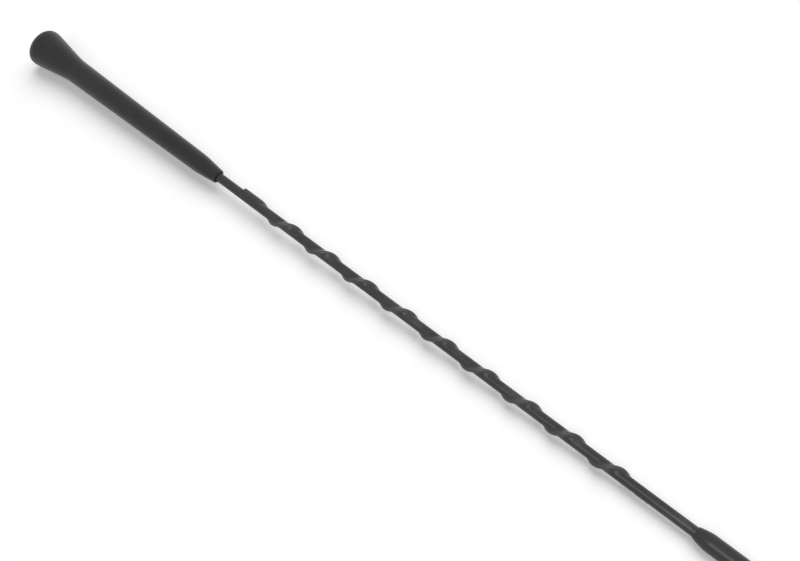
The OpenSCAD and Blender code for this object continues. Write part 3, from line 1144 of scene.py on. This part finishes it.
@dataclass(frozen=True)
class LoadingCoil:
    """Enamelled wire wound on the former, with a bared lead at each end, in millimetres.

    Attributes:
        fit: The shared sizes.
        ferrule: The ferrule to whose neck the lower lead runs.
        wire_r: Radius of the enamelled wire.
        lead_wire_r: Radius of the bared leads.
        former_r: Radius of the former under the wire.
        flange_h: Height of the former's flanges.
        collar_l: Length of the collar to which the upper lead runs.
        lead_on_neck: Length of the lower lead on the ferrule's neck.
        turns: Number of turns.
        bend: Number of steps over which a bend is rounded.
        lead_rows: Number of rows along each lead.
        steps_per_turn: Number of rows in each turn.
        sides: Number of sides of the wire's section.
        crease: Angle in degrees over which an edge stays sharp.
    """

    fit: Fit
    ferrule: BaseFerrule
    wire_r: float = 0.3
    lead_wire_r: float = 0.27
    former_r: float = 2.2
    flange_h: float = 1.2
    collar_l: float = 3.0
    lead_on_neck: float = 4.0
    turns: int = 49
    bend: int = 6
    lead_rows: int = 24
    steps_per_turn: int = 40
    sides: int = 10
    crease: float = 60.0

    @property
    def lead_high_z(self) -> float:
        """Height at which the upper lead meets the collar."""
        return self.fit.collar_top_z - self.collar_l

    @property
    def high_z(self) -> float:
        """Height of the wire's middle in the last turn."""
        return self.lead_high_z - self.flange_h - 2 * self.fit.gap - self.wire_r

    @property
    def low_z(self) -> float:
        """Height of the wire's middle in the first turn."""
        return self.ferrule.top_z + self.flange_h + 2 * self.fit.gap + self.wire_r

    def skin(self) -> Skin:
        """Circle carried along a lead, a helix and a lead.

        The wire's angle round the mast is 0 on the lower lead, turns * TURN * s on the helix, where s is the
        share of the climb, and turns * TURN on the upper lead. A running mean rounds the two bends.

        Returns:
            The closed surface.
        """
        steps = self.turns * self.steps_per_turn
        lead = self.lead_rows
        wound = TURN * self.turns
        angle = np.concatenate([np.zeros(lead), wound * np.linspace(0, 1, steps), np.full(lead, wound)])
        height = np.concatenate([
            np.linspace(self.ferrule.top_z - self.lead_on_neck, self.low_z, lead, endpoint=False),
            np.linspace(self.low_z, self.high_z, steps),
            np.linspace(self.high_z, self.lead_high_z, lead + 1)[1:],
        ])
        mean = np.ones(self.bend) / self.bend
        pad = self.bend // 2
        angle[pad:-pad] = np.convolve(angle, mean, "same")[pad:-pad]
        height[pad:-pad] = np.convolve(height, mean, "same")[pad:-pad]
        thin = (height < self.low_z) | (height > self.high_z)
        radius = np.where(thin, self.lead_wire_r, self.wire_r)
        turn_r = self.former_r + self.fit.gap + self.wire_r
        return tube(round_mast(turn_r, angle, height), radius, self.sides)

    def build(self, shop: Workshop, finish: Finish) -> None:
        """Makes the coil."""
        shop.stand("coil_wound", self.skin(), finish, "loading_coil", self.crease)


@dataclass(frozen=True)
class SpiralCord:
    """Cord that breaks up the wind: a straight lead, an eased spiral and a short tail, in millimetres.

    Attributes:
        fit: The shared sizes.
        radius: Radius of the cord itself.
        from_nose: Distance from the boot's nose to the lead's cut end.
        lead_l: Length of the lead.
        tail_l: Length of the tail.
        end_gap: Distance from the tail's cut end to the cap's lip.
        pitch: Climb of one turn.
        bend_l: Height over which the spiral is eased at each end.
        side: Angle of the lead round the mast, in degrees.
        hand: Sense of the spiral.
        rows: Number of rows along the cord.
        sides: Number of sides of its section.
    """

    fit: Fit
    radius: float = 0.525
    from_nose: float = 14.5
    lead_l: float = 7.5
    tail_l: float = 5.1
    end_gap: float = 21.2
    pitch: float = 22.0
    bend_l: float = 4.0
    side: float = 112.0
    hand: Hand = Hand.LEFT
    rows: int = 900
    sides: int = 20

    @property
    def axis_r(self) -> float:
        """Distance of the cord's own axis from the mast's."""
        return self.fit.bore_r + self.radius

    @property
    def start_z(self) -> float:
        """Height of the lead's cut end."""
        return self.fit.boot_l + self.from_nose

    @property
    def bend_z(self) -> float:
        """Height at which the spiral starts."""
        return self.start_z + self.lead_l

    @property
    def end_z(self) -> float:
        """Height of the tail's cut end."""
        return self.fit.cap_z - self.end_gap

    @property
    def unbend_z(self) -> float:
        """Height at which the spiral ends."""
        return self.end_z - self.tail_l

    def turned(self, z: Array) -> Array:
        """Turns made at each height: h^2 / 2e + b + f - f^2 / 2e, all over the pitch.

        Here h, b and f are the heights gained in the eased start, the steady spiral and the eased end, and e
        is the length of each bend.

        Args:
            z: Heights.

        Returns:
            The turns.
        """
        gained = np.clip(z, self.bend_z, self.unbend_z) - self.bend_z
        run = self.unbend_z - self.bend_z
        e = self.bend_l
        head = np.minimum(gained, e)
        body = np.maximum(0, np.minimum(gained, run - e) - e)
        foot = np.maximum(0, gained - (run - e))
        return (head**2 / (2 * e) + body + foot - foot**2 / (2 * e)) / self.pitch

    def angle(self, z: Array) -> Array:
        """Angle of the cord round the mast at each height, in radians."""
        return np.radians(self.side) + self.hand.value * TURN * self.turned(z)

    def stretch(self, z: Array) -> Array:
        """Share by which a width square to the cord grows when it is measured round the mast.

        It is hypot(1, TURN R / pitch) on the spiral, with R the distance of the cord's axis, and 1 off it.

        Args:
            z: Heights.

        Returns:
            The shares.
        """
        into = np.minimum((z - self.bend_z) / self.bend_l, (self.unbend_z - z) / self.bend_l)
        rate = np.clip(into, 0, 1) / self.pitch
        return np.hypot(1, TURN * self.axis_r * rate)

    def build(self, shop: Workshop, finish: Finish) -> None:
        """Makes the cord.

        Args:
            shop: Where the piece goes.
            finish: Its finish.
        """
        z = np.linspace(self.start_z, self.end_z, self.rows)
        path = round_mast(self.axis_r, self.angle(z), z)
        skin = tube(path, np.full(self.rows, self.radius), self.sides)
        shop.stand("cord_spiral", skin, finish, "spiral_cord")


@dataclass(frozen=True)
class ShrinkSleeve:
    """Sleeve shrunk over the rod and the cord, stretched like a tent over the cord, in millimetres.

    Attributes:
        fit: The shared sizes.
        cord: The cord under the sleeve.
        tent_l: Length over which the tent falls away beyond each cut end of the cord.
        steepest: Angle past which the side of the tent isn't worked out, in radians.
        even: Share of the columns' spacing that is even. The rest draws them towards the cord.
        outer_rows: Number of rows of the outer skin.
        inner_rows: Number of rows of the inner skin.
        columns: Number of columns round the mast.
        crease: Angle in degrees over which an edge stays sharp.
    """

    fit: Fit
    cord: SpiralCord
    tent_l: float = 0.9
    steepest: float = 1.4
    even: float = 0.45
    outer_rows: int = 1180
    inner_rows: int = 360
    columns: int = 54
    crease: float = 60.0

    def climb(self, z: Array) -> Array:
        """Height of the skin over the cord as a share of its full height: s^2 (3 - 2 s).

        Here s is 1 over the cord and falls evenly to 0 beyond each of its cut ends.

        Args:
            z: Heights.

        Returns:
            The shares.
        """
        below = 1 - (self.cord.start_z - z) / self.tent_l
        above = 1 - (z - self.cord.end_z) / self.tent_l
        share = np.clip(np.minimum(below, above), 0, 1)
        return share * share * (3 - 2 * share)

    def radius(self, t: Array, rod: Array, over: Array) -> Array:
        """Radius of a skin stretched over a rod and a cord, at an angle t from the cord.

        Round the cord it is R cos t + sqrt(c^2 - (R sin t)^2), down the straight side of the tent it is
        rod / cos(lean - t), and from the lean on it is the rod's own radius. The lean is the angle whose
        cosine is (rod - c) / R.

        Args:
            t: Angles from the cord, in radians.
            rod: Radius of the skin on the rod.
            over: Radius c of the skin round the cord's own axis.

        Returns:
            The radii.
        """
        axis = self.cord.axis_r
        lean = np.arccos((rod - over) / axis)
        foot = np.arctan2(over * np.sin(lean), axis + over * np.cos(lean))
        on_cord = axis * np.cos(t) + np.sqrt(np.maximum(0, over**2 - (axis * np.sin(t)) ** 2))
        on_side = rod / np.cos(np.clip(lean - t, 0, self.steepest))
        return np.where(t >= lean, rod, np.where(t >= foot, on_side, on_cord))

    def shell(self, z: Array, rod: Array, over: Array) -> tuple[Array, Array]:
        """One skin on a grid of heights and angles.

        The angles are closer together near the cord: a share s from -1 to 1 becomes half a turn times
        e s + (1 - e) s^3, where e is the share of even spacing.

        Args:
            z: Heights.
            rod: Radius of the skin on the rod at each height.
            over: Radius of the skin round the cord's axis at each height.

        Returns:
            The points by height and angle, and the stretch of the skin from 0 to 1.
        """
        share = -1 + 2 * (np.arange(self.columns) + 0.5) / self.columns
        from_cord = np.pi * (self.even * share + (1 - self.even) * share**3)[None, :]
        z, rod, over = z[:, None], rod[:, None], over[:, None]
        t = np.abs(from_cord) / self.cord.stretch(z)
        raised = self.climb(z) * (self.radius(t, rod, over) - rod)
        full = self.cord.axis_r + over - rod
        points = round_mast(rod + raised, self.cord.angle(z) + from_cord, z)
        return points, raised / full

    def skin(self) -> Skin:
        """Outer skin upwards, inner skin downwards, joined at both ends.

        Returns:
            The closed surface, with the stretch of its outer skin.
        """
        low, high = self.fit.collar_top_z + self.fit.gap, self.fit.socket_z - self.fit.gap
        up = np.linspace(low, high, self.outer_rows)
        down = np.linspace(high, low, self.inner_rows)
        wall = self.fit.wall(up)
        bore = np.full(self.inner_rows, self.fit.bore_r)
        over = self.cord.radius + self.fit.gap
        outer, stretch = self.shell(up, self.fit.bore_r + wall, over + wall)
        inner, _ = self.shell(down, bore, np.full(self.inner_rows, over))
        marks = {"stretch": np.concatenate([stretch, np.zeros(inner.shape[:2])])}
        return ring_skin(np.concatenate([outer, inner]), marks)

    def build(self, shop: Workshop, finish: Finish) -> None:
        """Makes the sleeve."""
        shop.stand("sleeve_shrunk", self.skin(), finish, "shrink_sleeve", self.crease)


@dataclass(frozen=True)
class Boot:
    """Moulded rubber boot, hollow for the base, the coil and the sleeved rod, in millimetres.

    Attributes:
        fit: The shared sizes.
        ferrule: The ferrule that the foot of the boot holds.
        flare_r: Radius of the widest ring.
        flare_l: Height at which the flare has become the grip.
        flare_pull: Heights over which the flare leaves the widest ring and joins the grip.
        rim_round: Radius of the rim's outer edge.
        crest_w: Width of the widest ring.
        grip_r: Radius of the grip where the flare joins it.
        grip_tip_r: Radius of the grip where the nose starts.
        nose_l: Length of the nose.
        nose_pull: Heights over which the nose leaves the grip and comes to its end.
        nose_r: Radius of the nose's end.
        nose_round: Radius of the edge of the nose's end.
        nose_edge_from: Angle at which that edge starts, in degrees.
        recess_r: Radius of the recess round the sleeve at the nose's end.
        recess_h: Depth of that recess.
        recess_draft: What the recess widens by towards its mouth.
        skirt_r: Radius of the skirt's hollow.
        coil_seat_r: Radius of the coil's hollow.
        hollow_ease: Distance over which the corners of the hollows are eased.
        lip: Radius of the edge of the skirt's mouth.
        seam_side: Angle of the first parting line round the mast, in degrees.
        seam_w: Width of the parting ridge.
        seam_h: Height of the parting ridge.
        seam_crowd: How far the angles are drawn together at the parting lines.
        rim_dust_h: Height over which the dust at the rim thins out.
        nose_dust: Share of the dust at the nose's end.
        nose_dust_h: Height over which that dust thins out.
        rows: Number of rows along the grip.
        around: Number of angles in a turn.
    """

    fit: Fit
    ferrule: BaseFerrule
    flare_r: float = 9.075
    flare_l: float = 25.0
    flare_pull: Band = (1.7, 4.0)
    rim_round: float = 2.8
    crest_w: float = 1.0
    grip_r: float = 5.8
    grip_tip_r: float = 4.525
    nose_l: float = 12.5
    nose_pull: Band = (2.0, 4.5)
    nose_r: float = 3.3
    nose_round: float = 0.6
    nose_edge_from: float = 15.0
    recess_r: float = 2.5
    recess_h: float = 1.2
    recess_draft: float = 0.05
    skirt_r: float = 5.7
    coil_seat_r: float = 3.4
    hollow_ease: float = 0.12
    lip: float = 0.35
    seam_side: float = 113.0
    seam_w: float = 0.16
    seam_h: float = 0.035
    seam_crowd: float = 0.13
    rim_dust_h: float = 1.6
    nose_dust: float = 0.6
    nose_dust_h: float = 1.0
    rows: int = 30
    around: int = 168

    @property
    def crest_z(self) -> float:
        """Height at which the widest ring ends."""
        return self.rim_round + self.crest_w

    def outside(self) -> Array:
        """Outline from the rim over the flare and the grip to the nose.

        The flare and the nose are cubic curves: the flare leaves the widest ring upright, and both meet the
        grip along its slope.

        Returns:
            Points as radius and height.
        """
        length = self.fit.boot_l
        nose_z = length - self.nose_l
        slope = (self.grip_r - self.grip_tip_r) / (nose_z - self.flare_l)
        leave, join = self.flare_pull
        flare = bezier(
            [self.flare_r, self.crest_z],
            [self.flare_r, self.crest_z + leave],
            [self.grip_r + slope * join, self.flare_l - join],
            [self.grip_r, self.flare_l],
        )
        leave, join = self.nose_pull
        nose = bezier(
            [self.grip_tip_r, nose_z],
            [self.grip_tip_r - slope * leave, nose_z + leave],
            [self.nose_r + (self.grip_tip_r - self.nose_r) * join / self.nose_l, length - join],
            [self.nose_r, length - self.nose_round],
        )
        rim = arc([self.flare_r - self.rim_round, self.rim_round], self.rim_round, self.rim_round, -90, 0)
        edge_centre = [self.nose_r - self.nose_round, length - self.nose_round]
        edge = arc(edge_centre, self.nose_round, self.nose_round, self.nose_edge_from, 90, steps=8)
        grip = np.linspace(flare[-1], nose[0], self.rows)[1:-1]
        return np.concatenate([rim, flare, grip, nose, edge])

    def inside(self) -> Array:
        """Outline from the nose's recess down through the hollows to the skirt's mouth.

        Returns:
            Points as radius and height.
        """
        gap, length = self.fit.gap, self.fit.boot_l
        sleeve_r = self.fit.bore_r + self.fit.sleeve_wall_boot + gap
        barrel_r = self.ferrule.barrel_r + gap
        flange_r = self.ferrule.flange_r + gap
        coil_top = self.fit.collar_top_z + gap
        corners = np.array([
            [self.recess_r + self.recess_draft, length],
            [self.recess_r, length - self.recess_h],
            [sleeve_r, length - self.recess_h],
            [sleeve_r, coil_top],
            [self.coil_seat_r, coil_top],
            [self.coil_seat_r, self.ferrule.neck_z + gap],
            [barrel_r, self.ferrule.neck_z + gap],
            [barrel_r, self.ferrule.barrel_z + gap],
            [flange_r, self.ferrule.barrel_z + gap],
            [flange_r, self.ferrule.foot_z],
            [self.skirt_r, self.ferrule.foot_z],
            [self.skirt_r, self.lip],
        ])
        mouth = arc([self.skirt_r + self.lip, self.lip], self.lip, self.lip, 180, 270, steps=5)
        return np.concatenate([eased_corners(corners, self.hollow_ease), mouth[1:]])

    def skin(self) -> Skin:
        """The outline turned round the mast, with a fine parting ridge along both sides.

        The ridge adds h exp(-(d / w)^2) to the radius, where d is the distance round the boot from the
        parting line. The angles are drawn together at the two lines: a share s of half a turn becomes
        s - c sin(TURN s), where c is how far they are drawn together. The mark for dust is
        exp(-z / a) at the rim plus n exp(-(d / b)^2) at a distance d from the nose's end.

        Returns:
            The closed surface, with the dust on its rim and nose.
        """
        outside, inside = self.outside(), self.inside()
        outline = np.concatenate([outside, inside])
        share = np.arange(self.around // 2) / (self.around // 2)
        half = np.pi * (share - self.seam_crowd * np.sin(TURN * share))
        angles = np.concatenate([half, half + np.pi])
        grid = turned_grid(outline, angles + np.radians(self.seam_side))
        distance = np.abs((angles + np.pi / 2) % np.pi - np.pi / 2) * outline[:, 0, None]
        shown = (np.arange(len(outline)) < len(outside)) & (outline[:, 1] > self.rim_round)
        ridge = self.seam_h * np.exp(-((distance / self.seam_w) ** 2)) * shown[:, None]
        outward = grid[..., :2] / outline[:, 0, None, None]
        grid[..., :2] += outward * ridge[..., None]
        from_nose = (outline[:, 1] - self.fit.boot_l) / self.nose_dust_h
        dust = np.exp(-outline[:, 1] / self.rim_dust_h) + self.nose_dust * np.exp(-(from_nose**2))
        return ring_skin(grid, {"rim": np.clip(dust, 0, 1)[:, None] * np.ones_like(distance)})

    def build(self, shop: Workshop, finish: Finish) -> None:
        """Makes the boot."""
        shop.stand("boot_moulded", self.skin(), finish, "boot")


@dataclass(frozen=True)
class TipCap:
    """Moulded cap pushed over the sleeve's end, in millimetres.

    Attributes:
        fit: The shared sizes.
        radius: Radius of the straight part.
        length: Length of the cap.
        lip_r: Outer radius of the lip.
        lip_edge: Distance over which the lip's edges are eased.
        lip_pull: Radius and height by which the shoulder leaves the lip.
        shoulder_l: Length of the shoulder.
        shoulder_pull: Radius and height by which the shoulder comes to the straight part.
        dome_l: Length of the dome.
        lip_dust: Share of the dust at the lip.
        lip_dust_h: Height over which that dust thins out.
        dome_dust: Share of the dust on top of the dome.
        rows: Number of rows along the straight part.
        around: Number of angles in a turn.
    """

    fit: Fit
    radius: float = 3.9
    length: float = 32.0
    lip_r: float = 2.575
    lip_edge: float = 0.08
    lip_pull: Band = (0.47, 1.36)
    shoulder_l: float = 6.4
    shoulder_pull: Band = (0.14, 1.7)
    dome_l: float = 3.4
    lip_dust: float = 0.8
    lip_dust_h: float = 0.7
    dome_dust: float = 0.5
    rows: int = 24
    around: int = 144

    @property
    def dome_z(self) -> float:
        """Height at which the dome starts."""
        return self.fit.cap_z + self.length - self.dome_l

    def skin(self) -> Skin:
        """The outline turned round the mast: socket, lip, shoulder, straight part and dome.

        The shoulder is a cubic curve and the dome an ellipse. The mark for dust is a exp(-(h / b)^2) at a
        height h over the lip, plus an even rise over the dome.

        Returns:
            The closed surface, with the dust on its lip and dome.
        """
        foot = self.fit.cap_z
        end = foot + self.shoulder_l
        bore = self.fit.bore_r + self.fit.sleeve_wall_tip + self.fit.gap
        deep = self.fit.socket_z
        socket = np.array([[0, deep], [bore, deep], [bore, foot], [self.lip_r, foot]])
        shoulder = bezier(
            [self.lip_r, foot],
            [self.lip_r + self.lip_pull[0], foot + self.lip_pull[1]],
            [self.radius - self.shoulder_pull[0], end - self.shoulder_pull[1]],
            [self.radius, end],
        )
        past_lip = shoulder[2:]
        start = eased_corners(np.concatenate([socket, past_lip[:1]]), self.lip_edge)[:-1]
        body = np.linspace([self.radius, end], [self.radius, self.dome_z], self.rows)[1:-1]
        dome = arc([0, self.dome_z], self.radius, self.dome_l, 0, 90, steps=40)
        dome[-1, 0] = 0
        solid = turned_solid(np.concatenate([start, past_lip, body, dome]), self.around)
        height = solid.points[:, 2]
        at_lip = self.lip_dust * np.exp(-(((height - foot) / self.lip_dust_h) ** 2))
        rim = at_lip + self.dome_dust * np.clip((height - self.dome_z) / self.dome_l, 0, 1)
        return Skin(solid.points, solid.faces, {"rim": rim})

    def build(self, shop: Workshop, finish: Finish) -> None:
        """Makes the cap."""
        shop.stand("cap_moulded", self.skin(), finish, "tip_cap")


@dataclass(frozen=True)
class RadiatorWire:
    """Thin copper wire wound up the rod in an open helix, in millimetres.

    Attributes:
        fit: The shared sizes.
        pitch: Climb of one turn.
        stop_l: Distance at which it stops short of the sleeve's end.
        rows: Number of rows along the wire.
        sides: Number of sides of its section.
        hand: Sense of the helix.
    """

    fit: Fit
    pitch: float = 30.0
    stop_l: float = 1.0
    rows: int = 420
    sides: int = 10
    hand: Hand = Hand.RIGHT

    def build(self, shop: Workshop, finish: Finish) -> None:
        """Makes the wire: its angle is TURN (z - z0) / pitch.

        Args:
            shop: Where the piece goes.
            finish: Its finish.
        """
        foot = self.fit.collar_top_z
        z = np.linspace(foot, self.fit.socket_z - self.fit.gap - self.stop_l, self.rows)
        path = round_mast(self.fit.radiator_r, self.hand.value * TURN * (z - foot) / self.pitch, z)
        skin = tube(path, np.full(self.rows, self.fit.radiator_wire_r), self.sides)
        shop.stand("radiator_wound", skin, finish, "radiator_wire")


# Studio


@dataclass(frozen=True)
class Lamp:
    """A distant lamp.

    Attributes:
        name: Name of the lamp.
        towards: Direction from the mast to the lamp.
        power: Light that falls square onto a surface, in watts per square metre.
        spread: Width of the lamp as seen from the mast, in degrees.
        glints: Whether glossy surfaces show the lamp itself.
    """

    name: str
    towards: Triple
    power: float
    spread: float
    glints: bool = True

    def hang(self) -> None:
        """Puts the lamp into the scene."""
        light = bpy.data.lights.new(self.name, "SUN")
        light.energy = self.power
        light.angle = np.radians(self.spread)
        lamp = bpy.data.objects.new(self.name, light)
        lamp.rotation_euler = Vector(self.towards).to_track_quat("Z", "Y").to_euler()
        lamp.visible_glossy = self.glints
        bpy.context.scene.collection.objects.link(lamp)


@dataclass(frozen=True)
class Studio:
    """Pale floor, lamps, world and camera, in millimetres.

    Attributes:
        floor_half: Half the width of the floor.
        floor_tone: Grey of the floor.
        floor_seen: Light that the floor adds where it is seen.
        sky_light: Strength of the world as a light.
        sky_seen: Strength of the world where it is seen.
        lamps: The lamps.
        eye: Place of the camera.
        gaze: Direction in which the camera looks.
        lens: Focal length.
        sensor: Width of the camera's picture behind the lens.
        near: Distance from which the camera sees.
    """

    floor_half: float = 6000.0
    floor_tone: float = 0.86
    floor_seen: float = 0.225
    sky_light: float = 0.12
    sky_seen: float = 1.0
    lamps: tuple[Lamp, ...] = (
        Lamp(name="key", towards=(-0.1, 0.45, 0.89), power=2.2, spread=58, glints=False),
        Lamp(name="stripe", towards=(0.12, -0.505, 0.85), power=0.6, spread=30),
    )
    eye: Triple = (174.86, -183.7, 462.8)
    gaze: Triple = (-0.3114, 0.3742, -0.8735)
    lens: float = 54.0
    sensor: float = 36.0
    near: float = 10.0

    def floor(self) -> None:
        """Lays the floor, which keeps shadows and is seen as white in full light."""
        half = self.floor_half * MM
        tone = self.floor_tone
        corners = [(-half, -half, 0), (half, -half, 0), (half, half, 0), (-half, half, 0)]
        mesh = bpy.data.meshes.new("floor")
        mesh.from_pydata(corners, [], [(0, 1, 2, 3)])
        material = bpy.data.materials.new("floor_paper")
        material.use_nodes = True
        board = Board(material.node_tree)
        board.tree.nodes.clear()
        matt = board.add("ShaderNodeBsdfDiffuse", {"Color": (tone, tone, tone, 1)})
        strength = board.maths("MULTIPLY", board.seen(), self.floor_seen)
        glow = board.add("ShaderNodeEmission", {"Strength": strength})
        both = board.add("ShaderNodeAddShader", {0: matt.outputs[0], 1: glow.outputs[0]})
        board.add("ShaderNodeOutputMaterial", {"Surface": both.outputs[0]})
        mesh.materials.append(material)
        floor = bpy.data.objects.new("floor", mesh)
        bpy.context.scene.collection.objects.link(floor)

    def sky(self) -> None:
        """Sets the world: a dim even light that is seen as white."""
        world = bpy.data.worlds.new("studio")
        world.use_nodes = True
        bpy.context.scene.world = world
        board = Board(world.node_tree)
        back = world.node_tree.nodes["Background"]
        back.inputs["Color"].default_value = (1, 1, 1, 1)
        level = board.ranged(board.seen(), end=(self.sky_light, self.sky_seen))
        board.join(level, back.inputs["Strength"])

    def camera(self) -> None:
        """Sets the camera where the photograph was taken from."""
        lens = bpy.data.cameras.new("camera")
        lens.lens = self.lens
        lens.sensor_width = self.sensor
        lens.clip_start = self.near * MM
        camera = bpy.data.objects.new("camera", lens)
        camera.location = Vector(self.eye) * MM
        camera.rotation_euler = Vector(self.gaze).to_track_quat("-Z", "Y").to_euler()
        bpy.context.scene.collection.objects.link(camera)
        bpy.context.scene.camera = camera

    def build(self) -> None:
        """Sets the whole studio up."""
        bpy.context.scene.view_settings.view_transform = "Standard"
        self.camera()
        self.floor()
        self.sky()
        for lamp in self.lamps:
            lamp.hang()


def main() -> None:
    """Builds the studio and every piece in order, and logs how far the rod lies from the mast's line."""
    logging.basicConfig(level=logging.INFO, format="%(name)s: %(message)s")
    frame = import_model()
    fit, ferrule, finishes = Fit(), BaseFerrule(), Finishes()
    cord = SpiralCord(fit)
    boot, cap = Boot(fit, ferrule), TipCap(fit)
    line = MastLine.resting_on(boot, cap)
    rod_low = ferrule.top_z - ferrule.rod_seat + fit.gap
    rod_high = fit.socket_z - fit.gap
    log.info("the rod lies %.4f mm from the line", line.offset_from("core_rod", rod_low, rod_high))
    Studio().build()
    shop = Workshop(line, Effects(line), frame["nodes"])
    boot.build(shop, finishes.rubber)
    ThreadedStud().build(shop, finishes.steel)
    ferrule.build(shop, finishes.brass)
    LoadingCoil(fit, ferrule).build(shop, finishes.copper)
    RadiatorWire(fit).build(shop, finishes.copper)
    cord.build(shop, finishes.cord)
    ShrinkSleeve(fit, cord).build(shop, finishes.sleeve)
    cap.build(shop, finishes.cap)
    shop.keep("coil_former", finishes.former)
    shop.keep("coil_sleeve", finishes.coil_sleeve)
    shop.keep("coil_collar", finishes.brass)
    shop.keep("core_rod", finishes.fibreglass)


if __name__ == "__main__":
    main()
